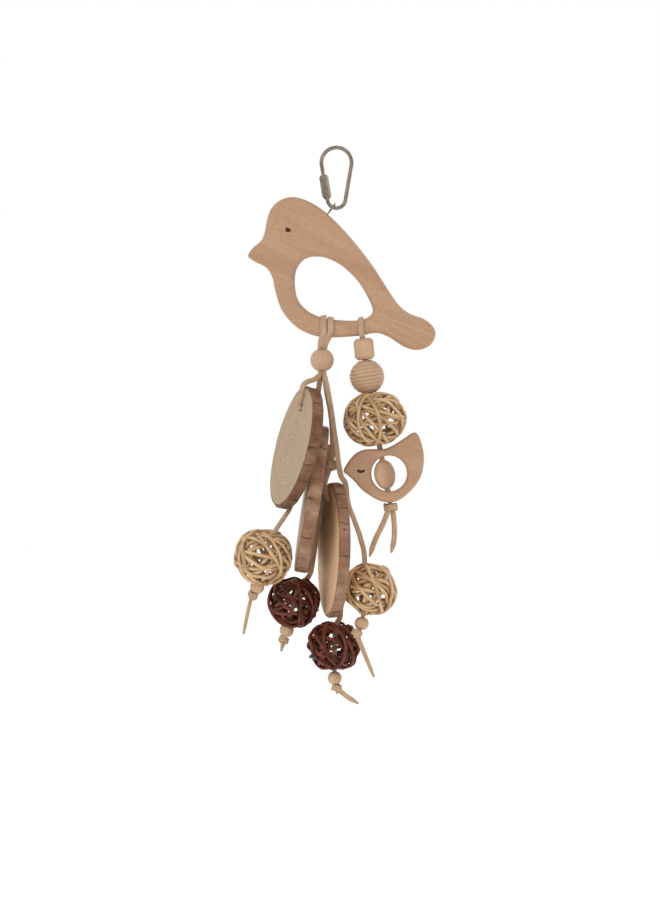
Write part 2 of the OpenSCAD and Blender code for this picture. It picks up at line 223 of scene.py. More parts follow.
def end_grain(name, light, middle, dark):
    """A sawn slice's face: growth rings round the pith, fine rays and faint saw marks."""
    p = Paint(name, 0.68, 0.25)
    place = p.grain((0, 1, 1))
    bend = p.noise(p.grain((0, 0.05, 0.05)), 1, 2)
    apart = p.node("ShaderNodeVectorMath", operation="LENGTH")
    p.feed(apart.inputs[0], place)
    distance = p.maths("ADD", apart.outputs["Value"], p.maths("MULTIPLY", bend, 9.0))
    width = p.noise(p.maths("MULTIPLY", distance, 0.12), 1, 2)
    ring = p.maths("FRACT", p.maths("ADD", p.maths("MULTIPLY", distance, 0.42),
                                    p.maths("MULTIPLY", width, 1.6)))
    colour = p.ramp(ring, (0.0, light), (0.55, light), (0.86, dark), (0.97, middle), (1.0, light))
    heart = p.ramp(p.maths("MULTIPLY", distance, 0.026), (0.15, middle), (0.42, light))
    colour = p.mix(0.42, colour, heart, "MULTIPLY")
    spread = p.noise(p.grain((0, 0.09, 0.09), (0, 4, 9)), 1, 3, 0.6)
    colour = p.mix(p.ramp(spread, (0.35, 0.0), (0.8, 0.55)), colour, middle)
    pores = p.noise(p.grain((0, 2.6, 2.6)), 1, 2, 0.7)
    colour = p.mix(p.ramp(pores, (0.56, 0.0), (0.74, 0.5)), colour, dark)
    saw = p.noise(p.grain((0, 0.1, 2.2), (0, 2, 0)), 1, 2, 0.5)
    relief = p.mix(0.45, p.mix(0.5, ring, pores), saw)
    return p.finish(colour, p.bump(relief, 0.0003, 0.45), p.ramp(saw, (0.3, 0.6), (0.7, 0.78)))


def bark_skin(name, light, brown, crack):
    """A thin smooth bark: mottled brown, streaks and a few cracks along the stem, pale scuffs."""
    p = Paint(name, 0.8, 0.25)
    mottle = p.noise(p.grain((0.12, 0.14, 0.14)), 1, 5, 0.62, 0.4)
    colour = p.ramp(mottle, (0.32, brown), (0.66, light))
    patches = p.noise(p.grain((0.02, 0.05, 0.05), (2, 6, 4)), 1, 3, 0.5)
    colour = p.mix(p.ramp(patches, (0.42, 0.0), (0.58, 0.65)), colour, brown)
    streaks = p.noise(p.grain((0.07, 0.75, 0.75), (5, 2, 7)), 1, 3, 0.6)
    colour = p.mix(p.ramp(streaks, (0.5, 0.0), (0.75, 0.6)), colour, brown)
    cracks = p.ramp(p.noise(p.grain((0.05, 0.42, 0.42), (1, 8, 3)), 1, 4, 0.7),
                    (0.60, 0.0), (0.66, 0.85))
    colour = p.mix(cracks, colour, crack)
    scuffs = p.noise(p.grain((0.9, 0.35, 0.35), (3, 1, 8)), 1, 4, 0.7)
    colour = p.mix(p.ramp(scuffs, (0.56, 0.0), (0.74, 0.5)), colour, light)
    relief = p.mix(0.5, p.mix(0.5, mottle, streaks), p.mix(1.0, cracks, scuffs, "SUBTRACT"))
    return p.finish(colour, p.bump(relief, 0.0007, 0.7), p.ramp(scuffs, (0.4, 0.82), (0.7, 0.55)))


def cane_skin(name, light, dark, gloss, specular):
    """Peeled cane: long fibres, soft colour changes along the strand and a light gloss."""
    p = Paint(name, gloss, specular)
    along = p.noise(p.grain((0.07, 0.05, 0.05)), 1, 3, 0.6)
    colour = p.ramp(along, (0.32, dark), (0.62, light))
    fibres = p.noise(p.grain((0.35, 3.4, 3.4)), 1, 2, 0.6)
    colour = p.mix(p.ramp(fibres, (0.45, 0.0), (0.7, 0.55)), colour, dark)
    return p.finish(colour, p.bump(fibres, 0.00015, 0.5), p.ramp(fibres, (0.2, gloss - 0.08),
                                                                 (0.8, gloss + 0.14)))


def suede_skin(name, light, dark):
    """Split leather: a matt nap with mottled colour and a fine fuzz."""
    p = Paint(name, 0.95, 0.12)
    p.shader.inputs["Sheen Weight"].default_value = 0.35
    p.shader.inputs["Sheen Roughness"].default_value = 0.6
    p.shader.inputs["Sheen Tint"].default_value = linear(240, 222, 200)
    mottle = p.noise(p.grain((0.16, 0.3, 0.3)), 1, 4, 0.6)
    nap = p.noise(p.grain((3.0, 4.5, 4.5)), 1, 3, 0.75)
    colour = p.ramp(mottle, (0.3, dark), (0.68, light))
    colour = p.mix(p.ramp(nap, (0.35, 0.45), (0.7, 0.0)), colour, dark)
    return p.finish(colour, p.bump(nap, 0.00022, 0.7))


def steel_skin(name):
    """Nickel-plated wire that has dulled, with fine drawn lines."""
    p = Paint(name, 0.32, 0.5, 1.0)
    place = p.node("ShaderNodeTexCoord").outputs["Object"]
    cloud = p.noise(place, 260, 4, 0.6)
    colour = p.ramp(cloud, (0.3, linear(112, 101, 89)), (0.7, linear(146, 134, 119)))
    scratch = p.noise(place, 2600, 2, 0.5)
    return p.finish(colour, p.bump(scratch, 0.00002, 0.2), p.ramp(cloud, (0.3, 0.28), (0.75, 0.42)))


def burnt_mark(name):
    p = Paint(name, 0.7, 0.3)
    place = p.node("ShaderNodeTexCoord").outputs["Object"]
    char = p.noise(place, 1500, 3, 0.6)
    colour = p.ramp(char, (0.3, linear(38, 20, 13)), (0.75, linear(78, 46, 30)))
    return p.finish(colour, p.bump(char, 0.0001, 0.4))


BEECH = beech_wood("beech", linear(182, 146, 116), linear(164, 127, 98), linear(136, 98, 72))
BEAD_WOOD = beech_wood("bead_wood", linear(194, 163, 133), linear(176, 143, 112),
                       linear(152, 117, 89))
PALE_GRAIN = end_grain("pale_end_grain", linear(188, 169, 145), linear(174, 148, 120),
                       linear(156, 130, 104))
# Slice c's face: partly its own golden tone, partly painted light. Its colours are raised further
# to lift the shade that slice b casts on it.
GOLD_GRAIN_PAINTED_LIGHT = end_grain("golden_end_grain_painted_light", linear(228, 197, 160), linear(214, 179, 140),
                       linear(190, 153, 116))
BARK = bark_skin("bark", linear(166, 132, 108), linear(122, 86, 62), linear(66, 41, 29))
BARK_DARK = bark_skin("dark_bark", linear(138, 104, 78), linear(98, 66, 44), linear(56, 33, 22))
PALE_CANE = cane_skin("pale_cane", linear(212, 179, 136), linear(164, 126, 88), 0.42, 0.4)
DARK_CANE = cane_skin("dark_cane", linear(116, 56, 36), linear(58, 24, 14), 0.5, 0.25)
SUEDE = suede_skin("suede", linear(192, 163, 135), linear(160, 129, 101))
STEEL = steel_skin("steel")
INK = burnt_mark("burnt_mark")

# ---------------- mesh building blocks


def along_grain(direction, across=(0, 1, 0)):
    """The rotation into a frame whose x runs along the grain."""
    x = Vector(direction).normalized()
    z = x.cross(Vector(across)).normalized()
    return Matrix((x, z.cross(x), z))


def face_outward(mesh):
    bm = bmesh.new()
    bm.from_mesh(mesh)
    bmesh.ops.recalc_face_normals(bm, faces=bm.faces)
    bm.to_mesh(mesh)
    bm.free()


def add_grain(mesh, places):
    """Stores one texture place for each point, and shades the mesh smooth."""
    attribute = mesh.attributes.new("grain", "FLOAT_VECTOR", "POINT")
    attribute.data.foreach_set("vector", np.array([tuple(p) for p in places], np.float32).ravel())
    mesh.polygons.foreach_set("use_smooth", [True] * len(mesh.polygons))


def claim(piece, body, nodes):
    """Puts the piece on its body, in place of one CAD node or several."""
    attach(piece, body)
    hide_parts(*(nodes if isinstance(nodes, list) else [nodes]))


def make_piece(name, points, faces, paints, body, nodes, grain=None, face_paint=None):
    """A mesh piece from points in millimetres. grain holds one texture place for each point."""
    mesh = bpy.data.meshes.new(name)
    mesh.from_pydata([tuple(c * MM for c in p) for p in points], [], faces)
    for paint in paints if isinstance(paints, list) else [paints]:
        mesh.materials.append(paint)
    add_grain(mesh, points if grain is None else grain)
    if face_paint is not None:
        mesh.polygons.foreach_set("material_index", face_paint)
    mesh.validate()
    face_outward(mesh)
    piece = add_object(name, mesh)
    claim(piece, body, nodes)
    return piece


def curve_between(a, b, c, d, steps):
    """Points from b towards c on the Catmull-Rom curve through a, b, c and d."""
    return [b + 0.5 * t * ((c - a) + t * ((2 * a - 5 * b + 4 * c - d) + t * (3 * (b - c) + d - a)))
            for t in (k / steps for k in range(steps))]


def smooth_path(points, spacing):
    """A curve through the points, as evenly spaced points."""
    points = [Vector(p) for p in points]
    last = len(points) - 1
    dense = []
    for i in range(last):
        dense += curve_between(*(points[min(max(i + k - 1, 0), last)] for k in range(4)), 12)
    dense.append(points[-1])
    runs = [0.0]
    for a, b in zip(dense, dense[1:]):
        runs.append(runs[-1] + (b - a).length)
    steps = max(3, round(runs[-1] / spacing))
    even, k = [], 0
    for i in range(steps + 1):
        want = runs[-1] * i / steps
        while k < len(runs) - 2 and runs[k + 1] < want:
            k += 1
        share = (want - runs[k]) / max(runs[k + 1] - runs[k], 1e-9)
        even.append(dense[k].lerp(dense[k + 1], share))
    return even


def tangents(path):
    last = len(path) - 1
    return [(path[min(i + 1, last)] - path[max(i - 1, 0)]).normalized() for i in range(last + 1)]


def carried_sides(path, side):
    """A tangent and a direction across the path at each point, carried along without spin."""
    found, current = [], Vector(side)
    for tangent in tangents(path):
        current = (current - current.dot(tangent) * tangent).normalized()
        found.append((tangent, current.copy()))
    return found


def swept(path, frames, section, closed=False, scale=None):
    """Points and faces of a section swept along a path. section holds (across, up) pairs."""
    sides = len(section)
    points, grain, run = [], [], 0.0
    for i, centre in enumerate(path):
        tangent, side = frames[i]
        up = tangent.cross(side)
        wide, high = scale[i] if scale else (1.0, 1.0)
        if i:
            run += (centre - path[i - 1]).length
        for u, v in section:
            points.append(centre + side * (u * wide) + up * (v * high))
            grain.append((run, u, v))
    faces = []
    rings = len(path)
    for i in range(rings if closed else rings - 1):
        for k in range(sides):
            n = (k + 1) % sides
            j = (i + 1) % rings
            faces.append((i * sides + k, i * sides + n, j * sides + n, j * sides + k))
    if not closed:
        faces.append(tuple(range(sides - 1, -1, -1)))
        faces.append(tuple((rings - 1) * sides + k for k in range(sides)))
    return points, faces, grain


def joined(sweeps):
    """Several swept shapes as one set of points, faces and grain."""
    points, faces, grain = [], [], []
    for more_points, more_faces, more_grain in sweeps:
        faces += [tuple(n + len(points) for n in face) for face in more_faces]
        points += more_points
        grain += more_grain
    return points, faces, grain


def round_section(radius, sides):
    return [(radius * math.cos(2 * math.pi * k / sides), radius * math.sin(2 * math.pi * k / sides))
            for k in range(sides)]


def lathe(name, profile, place, body, node, turn, segments=64, seed=0, bored=True):
    """A turned bead: (radius, height) pairs revolved about the local z axis. turn leads into the
    grain's frame. A bored profile is closed round its bore."""
    points, grain, faces = [], [], []
    count = len(profile)
    offset = Vector((seed * 13.7, seed * 3.1, seed * 5.3))
    for k in range(segments):
        a = 2 * math.pi * k / segments
        for r, z in profile:
            local = Vector((r * math.cos(a), r * math.sin(a), z))
            points.append(place @ local)
            grain.append(turn @ local + offset)
    for k in range(segments):
        n = (k + 1) % segments
        for i in range(count if bored else count - 1):
            j = (i + 1) % count
            faces.append((k * count + i, n * count + i, n * count + j, k * count + j))
    make_piece(name, points, faces, BEAD_WOOD, body, node, grain)


def bead_profile(radius, half_height, bore, rim=0.5, steps=22):
    """A ball with flat ends and a bore whose mouths are rounded, from the bottom to the top."""
    mouth_z = min(half_height, math.sqrt(radius ** 2 - (bore + rim) ** 2))
    low = math.asin(mouth_z / radius)
    outer = [(radius * math.cos(a), radius * math.sin(a))
             for a in (low * (2 * k / steps - 1) for k in range(steps + 1))]
    mouth = [(bore + rim * (1 + math.cos(a)), mouth_z - rim * (1 - math.sin(a)))
             for a in map(math.radians, (90, 120, 150, 180))]
    return [(r, -z) for r, z in reversed(mouth)] + outer + mouth


def placed(centre, lean=0.0, turn=0.0):
    """At the centre, leaning in the XZ plane and turned about the leaning axis, in degrees."""
    return (Matrix.Translation(Vector(centre)) @ Matrix.Rotation(math.radians(lean), 4, "Y")
            @ Matrix.Rotation(math.radians(turn), 4, "Z"))


# ---------------- quick link and screw eye

LINK_TOP = (-7.5, 8.6)
LINK_FOOT = (-28.3, 5.1)
LINK_WIRE = 2.2
LINK_LEAN = math.asin((LINK_TOP[1] - LINK_FOOT[1]) / (LINK_TOP[0] - LINK_FOOT[0]))


def link_arc(centre_z, radius, first, last, steps):
    return [Vector((radius * math.cos(a), 0, centre_z + radius * math.sin(a)))
            for a in (first + (last - first) * k / steps for k in range(steps + 1))]


def arm_point(side, run):
    foot = Vector((side * LINK_FOOT[1] * math.cos(LINK_LEAN), 0,
                   LINK_FOOT[0] - LINK_FOOT[1] * math.sin(LINK_LEAN)))
    return foot + run * Vector((side * math.sin(LINK_LEAN), 0, math.cos(LINK_LEAN)))


def make_link():
    """The wire: from its stub below the nut round the foot and the top, down into the nut."""
    path = ([arm_point(-1, 2.0 - 0.3 * k) for k in range(6)]
            + link_arc(*LINK_FOOT, math.pi + LINK_LEAN, 2 * math.pi - LINK_LEAN, 28)
            + [arm_point(1, 2.0 * k) for k in range(1, 10)]
            + link_arc(*LINK_TOP, -LINK_LEAN, math.pi + LINK_LEAN, 40)
            + [arm_point(-1, 20.5 - 0.25 * k) for k in range(1, 62)])
    scale = [(1.0, 1.0)] * len(path)
    scale[0] = scale[-2] = scale[-1] = (0.97, 0.97)
    points, faces, grain = swept(path, carried_sides(path, (0, 1, 0)),
                                 round_section(LINK_WIRE / 2, 20), scale=scale)
    make_piece("link_wire", points, faces, STEEL, "link", "quick_link", grain)


make_link()
for cad_name in ("link_nut", "screw_eye"):
    cad_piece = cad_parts[cad_name]
    cad_piece.data.materials.clear()
    cad_piece.data.materials.append(STEEL)
nut_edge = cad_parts["link_nut"].modifiers.new("edge", "BEVEL")
nut_edge.width = 0.0002
nut_edge.segments = 2
nut_edge.angle_limit = math.radians(25)

# ---------------- the two flat birds

BIRD_POINTS = [(-24, -27.3), (-15.5, -30), (-6, -36.2), (6.5, -48.6), (20, -65.6), (31, -82.6),
               (36.3, -89.6), (42, -93.8), (49.5, -96.6), (54.8, -100.8), (56.3, -106),
               (53.2, -111.8), (46, -114.3), (38.5, -112.4), (30, -107), (22.5, -104.6),
               (12, -106.2), (-2, -107.1), (-13, -106), (-23, -101), (-31, -92), (-34.8, -81),
               (-36.6, -73), (-40, -67.4), (-46, -64.2), (-50, -61.6), (-50, -59.6),
               (-47.2, -55.8), (-43, -52.2), (-40.8, -47), (-39.6, -40.5), (-37, -33.6),
               (-31.6, -28.9)]
BIRD_WINDOW = [(-10, -61), (-3, -62.9), (4, -66.9), (12.6, -75.5), (18.7, -86), (20.6, -92.3),
               (17, -96.3), (10, -97.6), (0, -97.2), (-9, -95.6), (-16.5, -92), (-22, -85.5),
               (-23.7, -76), (-22.5, -67.8), (-17.5, -62.2)]
CHICK_POINTS = [(4, -183.4), (6.2, -178.8), (10.3, -173.8), (15.5, -171.2), (21.5, -170.8),
                (27.5, -170.6), (33.2, -168.1), (38.3, -164.8), (43, -161.7), (45.4, -161.5),
                (47.2, -164.2), (49.3, -171), (49.7, -178), (48.5, -185), (46, -190),
                (41.5, -195.3), (36, -199.6), (31, -201.1), (26, -200.6), (20.9, -198.4),
                (14.7, -194.1), (9.5, -188.4), (6, -185.4)]
CHICK_WINDOW = ((30, -184.7), 10.2)
BIRD_THICK, BIRD_EDGE = 10, 3
CHICK_THICK, CHICK_EDGE = 9, 1.8
EDGE_STEPS = 7
ROOM_USED = 0.7


def outline(points, steps):
    """A smooth closed outline in the XZ plane, clockwise as seen from the front."""
    made, count = [], len(points)
    for i in range(count):
        made += curve_between(*(Vector(points[(i + k - 1) % count]) for k in range(4)), steps)
    return made


def inward_steps(points, full):
    """For each outline point, the inward direction and the share of the full inset that fits in
    ROOM_USED of the radius of the largest circle inside the outline that touches it there."""
    count, found = len(points), []
    for i, here in enumerate(points):
        tangent = (points[(i + 1) % count] - points[i - 1]).normalized()
        inward = Vector((tangent.y, -tangent.x))
        room = min((other - here).length_squared / (2 * (other - here).dot(inward))
                   for other in points if (other - here).dot(inward) > 1e-5)
        found.append((inward, min(1.0, ROOM_USED * room / full)))
    return found


def evened(shares, passes=14):
    """The shares, blended with their neighbours so that the rounding changes gently."""
    for _ in range(passes):
        shares = [(shares[i - 1] + 2 * shares[i] + shares[(i + 1) % len(shares)]) / 4
                  for i in range(len(shares))]
    return shares


def make_plate(name, outer, window, thick, edge, grain_frame, body, node, bore):
    """A flat beech shape with a window and a round hole. Both outlines have their edges rounded
    over."""
    levels = []
    for k in range(EDGE_STEPS, -1, -1):
        a = math.radians(90 * k / EDGE_STEPS)
        levels.append((-(thick / 2 - edge) - edge * math.sin(a), edge * (1 - math.cos(a))))
    levels += [(-y, inset) for y, inset in reversed(levels)]
    bm = bmesh.new()
    front_edges, back_edges = [], []
    for points, way in ((outer, 1), (window, -1)):
        steps = inward_steps(points, edge)
        shares = evened([share for _, share in steps]) if way > 0 else [1.0] * len(steps)
        rings = []
        for y, inset in levels:
            rings.append([bm.verts.new(((p.x + way * inset * share * d.x) * MM, y * MM,
                                        (p.y + way * inset * share * d.y) * MM))
                          for p, (d, _), share in zip(points, steps, shares)])
        for first, second in zip(rings, rings[1:]):
            for i in range(len(points)):
                j = (i + 1) % len(points)
                bm.faces.new((first[i], second[i], second[j], first[j]))
        for ring, edges in ((rings[0], front_edges), (rings[-1], back_edges)):
            for i in range(len(ring)):
                edges.append(bm.edges.get((ring[i], ring[(i + 1) % len(ring)])))
    for edges in (front_edges, back_edges):
        bmesh.ops.triangle_fill(bm, use_beauty=True, edges=edges)
    bmesh.ops.recalc_face_normals(bm, faces=bm.faces)
    mesh = bpy.data.meshes.new(name)
    bm.to_mesh(mesh)
    bm.free()
    piece = add_object(name, mesh)
    drill(piece, *bore)
    mesh = piece.data
    mesh.materials.clear()
    mesh.materials.append(BEECH)
    add_grain(mesh, [grain_frame @ (v.co / MM) for v in mesh.vertices])
    piece.modifiers.new("flat_faces", "WEIGHTED_NORMAL").keep_sharp = False
    claim(piece, body, node)


def drill(piece, start, end, radius):
    """Cuts a round hole from start to end through the piece."""
    path = [start, end]
    points, faces, _ = swept(path, carried_sides(path, (0, 1, 0)), round_section(radius, 32))
    mesh = bpy.data.meshes.new("cutter")
    mesh.from_pydata([tuple(c * MM for c in p) for p in points], [], faces)
    face_outward(mesh)
    cutter = add_object("cutter", mesh)
    cut = piece.modifiers.new("bore", "BOOLEAN")
    cut.object = cutter
    cut.operation = "DIFFERENCE"
    cut.solver = "EXACT"
    bpy.context.view_layer.update()
    shape = piece.evaluated_get(bpy.context.evaluated_depsgraph_get())
    baked = bpy.data.meshes.new_from_object(shape)
    piece.modifiers.remove(cut)
    piece.data = baked
    bpy.data.objects.remove(cutter)


def circle_outline(centre, radius, steps):
    return [Vector((centre[0] + radius * math.cos(a), centre[1] - radius * math.sin(a)))
            for a in (2 * math.pi * k / steps for k in range(steps))]


STRING_LEAN = 10.3
GROOVED = Vector((17.4, 0, -129.6))
STRING_DOWN = Vector((math.sin(math.radians(STRING_LEAN)), 0,
                      -math.cos(math.radians(STRING_LEAN))))


def on_string(run):
    """A point on the right string's line, at a distance below the grooved bead's centre."""
    return GROOVED + run * STRING_DOWN


COIN_AT = 56.6
COIN_TURN = 52
BIRD_GRAIN = along_grain((0.9, 0.05, -0.42))
CHICK_GRAIN = along_grain((0.95, 0.03, -0.3))
EYE_AXIS = Vector((0.6, 0, 0.8))
EYE_FOOT = Vector((-2.3, 0, -33.1)) - 15.95 * EYE_AXIS
make_plate("bird_wood", outline(BIRD_POINTS, 6), outline(BIRD_WINDOW, 8), BIRD_THICK, BIRD_EDGE,
           BIRD_GRAIN, "bird", "beech_bird", (EYE_FOOT, EYE_FOOT + 22 * EYE_AXIS, 0.75))
make_plate("small_bird_wood", outline(CHICK_POINTS, 6), circle_outline(*CHICK_WINDOW, 72),
           CHICK_THICK, CHICK_EDGE, CHICK_GRAIN, "small_bird", "chick",
           (on_string(COIN_AT - 28), on_string(COIN_AT + 28), 2.5))


def make_bird_eyes():
    """A burnt oval dot on each face, its edge a little uneven."""
    points, faces = [], []
    rim, tilt = 28, math.radians(-22)
    eye_x, eye_z, half_wide, half_high = -27.6, -46.3, 1.8, 1.4
    for side in (-1, 1):
        first = len(points)
        surface = side * BIRD_THICK / 2
        points.append(Vector((eye_x, surface + side * 0.09, eye_z)))
        for share, lift in ((0.55, 0.08), (0.9, 0.05), (1.0, -0.12)):
            for k in range(rim):
                a = 2 * math.pi * k / rim
                wobble = 1 + 0.05 * math.sin(3 * a + 1) + 0.03 * math.sin(7 * a)
                x = half_wide * share * wobble * math.cos(a)
                z = half_high * share * wobble * math.sin(a)
                points.append(Vector((eye_x + x * math.cos(tilt) - z * math.sin(tilt),
                                      surface + side * lift,
                                      eye_z + x * math.sin(tilt) + z * math.cos(tilt))))
        for k in range(rim):
            n = (k + 1) % rim
            faces.append((first, first + 1 + k, first + 1 + n))
            for ring in range(2):
                a, b = first + 1 + ring * rim, first + 1 + (ring + 1) * rim
                faces.append((a + k, b + k, b + n, a + n))
    make_piece("bird_eye_dots", points, faces, INK, "bird", "bird_eyes")


def make_chick_eyes():
    """A closed eyelid on each face: a short curved stroke with two lashes."""
    strokes = []
    centre = Vector((14.1, 0, -182.2))
    section = [(u * 0.4, v * 1.3) for u, v in round_section(0.62, 10)]
    for side in (-1, 1):
        surface = side * CHICK_THICK / 2
        lid = [centre + Vector((1.75 * math.cos(a), surface, 1.45 * math.sin(a)))
               for a in map(math.radians, range(188, 358, 10))]
        lashes = [[centre + Vector((-1.55, surface, -0.5)), centre + Vector((-2.5, surface, -1.0))],
                  [centre + Vector((-1.1, surface, -1.15)), centre + Vector((-1.8, surface, -1.9))]]
        for stroke in (lid, *lashes):
            last = len(stroke) - 1
            scale = [(1 - 0.5 * abs(2 * i / last - 1) ** 2,) * 2 for i in range(last + 1)]
            strokes.append(swept(stroke, carried_sides(stroke, (0, 1, 0)), section, scale=scale))
    points, faces, grain = joined(strokes)
    make_piece("small_bird_eyelids", points, faces, INK, "small_bird", "chick_eyes",
               grain)


make_bird_eyes()
make_chick_eyes()

# ---------------- turned beads

UPRIGHT_GRAIN = along_grain((0.05, 0.1, 1))


def make_grooved_bead():
    """A ball with turned grooves."""
    radius, bore, pitch, depth = 9.9, 2.5, 2.1, 0.5
    steps = 150
    top = math.sqrt(radius ** 2 - (bore + 0.6) ** 2)
    outer = []
    for k in range(steps + 1):
        z = top * (2 * k / steps - 1)
        cut = depth * max(0.0, math.cos(2 * math.pi * z / pitch)) ** 3
        fade = min(1.0, (top - abs(z)) / 1.4)
        outer.append((math.sqrt(radius ** 2 - z ** 2) - cut * fade, z))
    inner = [(bore + 0.15, top + 0.05), (bore, top - 0.5), (bore, -top + 0.5),
             (bore + 0.15, -top - 0.05)]
    lathe("grooved_bead_wood", outer + inner, placed(GROOVED, -STRING_LEAN), "grooved",
          "grooved_bead", along_grain((1, 0.3, 0.1)), 96, 2)


def make_coin_bead():
    """A flat round bead. The string passes through it along a diameter, so the shape that is
    turned about its own axis has no bore."""
    radius, half = 8.4, 3.0
    place = (placed(on_string(COIN_AT), -STRING_LEAN, COIN_TURN)
             @ Matrix.Rotation(math.radians(90), 4, "X"))
    profile = [(0.0, -half)]
    for k in range(1, 24):
        a = math.radians(-90 + 7.5 * k)
        profile.append((radius * math.cos(a) ** 0.62,
                        half * math.copysign(abs(math.sin(a)) ** 0.8, math.sin(a))))
    profile.append((0.0, half))
    lathe("coin_bead_wood", profile, place, "coin", "coin_bead", along_grain((0.1, 1, 0.2)),
          bored=False)


def make_facet_bead():
    """A cube whose corners and edges are cut, with softened arrises."""
    bm = bmesh.new()
    bmesh.ops.create_cube(bm, size=1)
    wide, high, cut, soft = 11.2, 12, 1.6, 0.25
    for v in bm.verts:
        v.co = Vector((v.co.x * wide, v.co.y * wide, v.co.z * high))
    bmesh.ops.bevel(bm, geom=bm.verts[:] + bm.edges[:], offset=cut, segments=1, affect="EDGES",
                    profile=0.5)
    bmesh.ops.bevel(bm, geom=bm.edges[:], offset=soft, segments=3, affect="EDGES", profile=0.5)
    place = placed((15.7, 0, -113.8), -6)
    locals_ = [v.co.copy() for v in bm.verts]
    faces = [tuple(v.index for v in f.verts) for f in bm.faces]
    bm.free()
    piece = make_piece("facet_bead_wood", [place @ p for p in locals_], faces, BEAD_WOOD, "facet",
                       "facet_bead", [UPRIGHT_GRAIN @ p for p in locals_])
    piece.modifiers.new("flat_faces", "WEIGHTED_NORMAL")


lathe("round_bead_wood", bead_profile(6.75, 6.1, 2.95), placed((-8.2, 0, -120.1)), "bundle",
      "round_bead", UPRIGHT_GRAIN, seed=1)
make_grooved_bead()
make_coin_bead()
make_facet_bead()
STOP_BEADS = {"a": ((-45, -8, -249), 16), "b": ((-28.6, 11, -274.8), 15),
              "c": ((-1, 6, -301.8), 0), "d": ((14.3, -3.7, -269.9), 14)}
for seed, (letter, (centre, lean)) in enumerate(STOP_BEADS.items(), 3):
    lathe(f"stop_bead_{letter}_wood", bead_profile(4.1, 3.3, 1.7, 0.35, 18), placed(centre, lean),
          f"strand_{letter}", f"stop_bead_{letter}", UPRIGHT_GRAIN, 48, seed)

# ---------------- wood slices


def make_slice(letter, centre, lean, yaw, radius, thick, hole_height, phase, pith, face_paint,
               bark_paint):
    """A sawn branch slice. Local x is its axis; the hole is above the middle, pith is the growth
    rings' centre on the face, and phase gives each slice its own rim and bark."""
    place = placed(centre, lean, yaw)
    count, hole, bark, half = 220, 2.3, 1.5, thick / 2
    hole_centre = Vector((0, 0, hole_height))
    seed = Vector((phase * 3.7, phase * 1.3, 9.1))
    rings, paint_of_ring = [], []

    def rim(angle):
        base = 1 + 0.008 * math.sin(2 * angle + math.radians(phase)) + 0.006 * math.sin(3 * angle)
        direction = Vector((0, math.sin(angle), math.cos(angle)))
        return direction, radius * base

    def add(kind, x, share, inset, rough):
        ring = []
        for k in range(count):
            a = 2 * math.pi * k / count
            direction, r = rim(a)
            edge = direction * (r - inset)
            bore = hole_centre + (edge - hole_centre).normalized() * (hole + max(0.0, -share))
            point = bore.lerp(edge, max(0.0, share))
            point.x = x
            if rough:
                low = noise.noise(point * 0.16 + seed)
                high = noise.noise(Vector((x * 0.25, point.y * 0.75, point.z * 0.75)) + seed)
                crack = max(0.0, noise.noise(Vector((x * 0.06, point.y * 0.42, point.z * 0.42))
                                             + seed * 2) - 0.22)
                point += direction * rough * (0.75 * low + 0.45 * high - 2.2 * crack)
            ring.append(point)
        rings.append(ring)
        paint_of_ring.append(kind)

    # One face's rings, from inside the hole to the bark's rounded edge: paint, depth below the
    # face, share of the way from the hole to the rim, inset from the rim, and roughness
    wood, skin = 0, 1
    face = [(wood, 0.5, 0.0, 0.0, 0.0), (wood, 0.0, -0.4, 0.0, 0.0)]
    face += [(wood, 0.0, share, bark, 0.0) for share in (0.2, 0.45, 0.7, 0.88)]
    face += [(skin, 0.0, 1.0, bark, 0.0), (skin, 0.12, 1.0, 0.7, 0.3), (skin, 0.45, 1.0, 0.1, 0.8)]
    for kind, depth, *shape in face:
        add(kind, half - depth, *shape)
    side_steps = 7
    for k in range(1, side_steps):
        add(skin, half * (1 - 2 * k / side_steps), 1.0, -0.12, 1.0)
    for kind, depth, *shape in reversed(face):
        add(kind, depth - half, *shape)
    points = [p for ring in rings for p in ring]
    faces, paints = [], []
    total = len(rings)
    for i in range(total):
        j = (i + 1) % total
        for k in range(count):
            n = (k + 1) % count
            faces.append((i * count + k, i * count + n, j * count + n, j * count + k))
            paints.append(skin if paint_of_ring[i] == skin and (
                paint_of_ring[j] == skin or i == total - 1) else wood)
    offset = Vector((phase * 0.4, -pith[0], -pith[1]))
    make_piece(f"slice_{letter}_wood", [place @ p for p in points], faces, [face_paint, bark_paint],
               f"slice_{letter}", f"slice_{letter}",
               [p + offset for p in points], paints)


make_slice("a", (-22.7, -5, -170), 14.3, 16, 35.3, 6.5, 22.4, 0, (2, -1), PALE_GRAIN, BARK_DARK)
make_slice("b", (-14.3, 11, -199.7), 8.4, 2, 42, 8, 32, 40, (-4, 3), PALE_GRAIN, BARK)
# Slice c's face takes the brightened golden end grain: its own golden tone plus painted light over
# the shade from slice b.
make_slice("c", (-1.6, 6, -228.4), 1.5, 9.6, 38, 6.6, 29, 90, (3, -5), GOLD_GRAIN_PAINTED_LIGHT, BARK)

# ---------------- woven rattan balls


def ball_loops(rng, axis, count, clear):
    """Circles on the unit sphere as (normal, offset), spread evenly, clear of the lace's poles."""
    golden = math.pi * (3 - math.sqrt(5))
    loops = []
    for k in range(count):
        z = 1 - (k + 0.5) / count
        a = k * golden + rng.uniform(-0.3, 0.3)
        r = math.sqrt(1 - z * z)
        normal = Vector((r * math.cos(a), r * math.sin(a), z)).normalized()
        normal += Vector([rng.uniform(-0.12, 0.12) for _ in range(3)])
        normal.normalize()
        reach = math.acos(rng.uniform(-0.36, 0.36))
        for pole in (axis, -axis):
            to_pole = math.acos(max(-1, min(1, normal.dot(pole))))
            if abs(reach - to_pole) < clear:
                reach = to_pole + (clear if reach > to_pole else -clear)
        loops.append((normal, reach))
    return loops


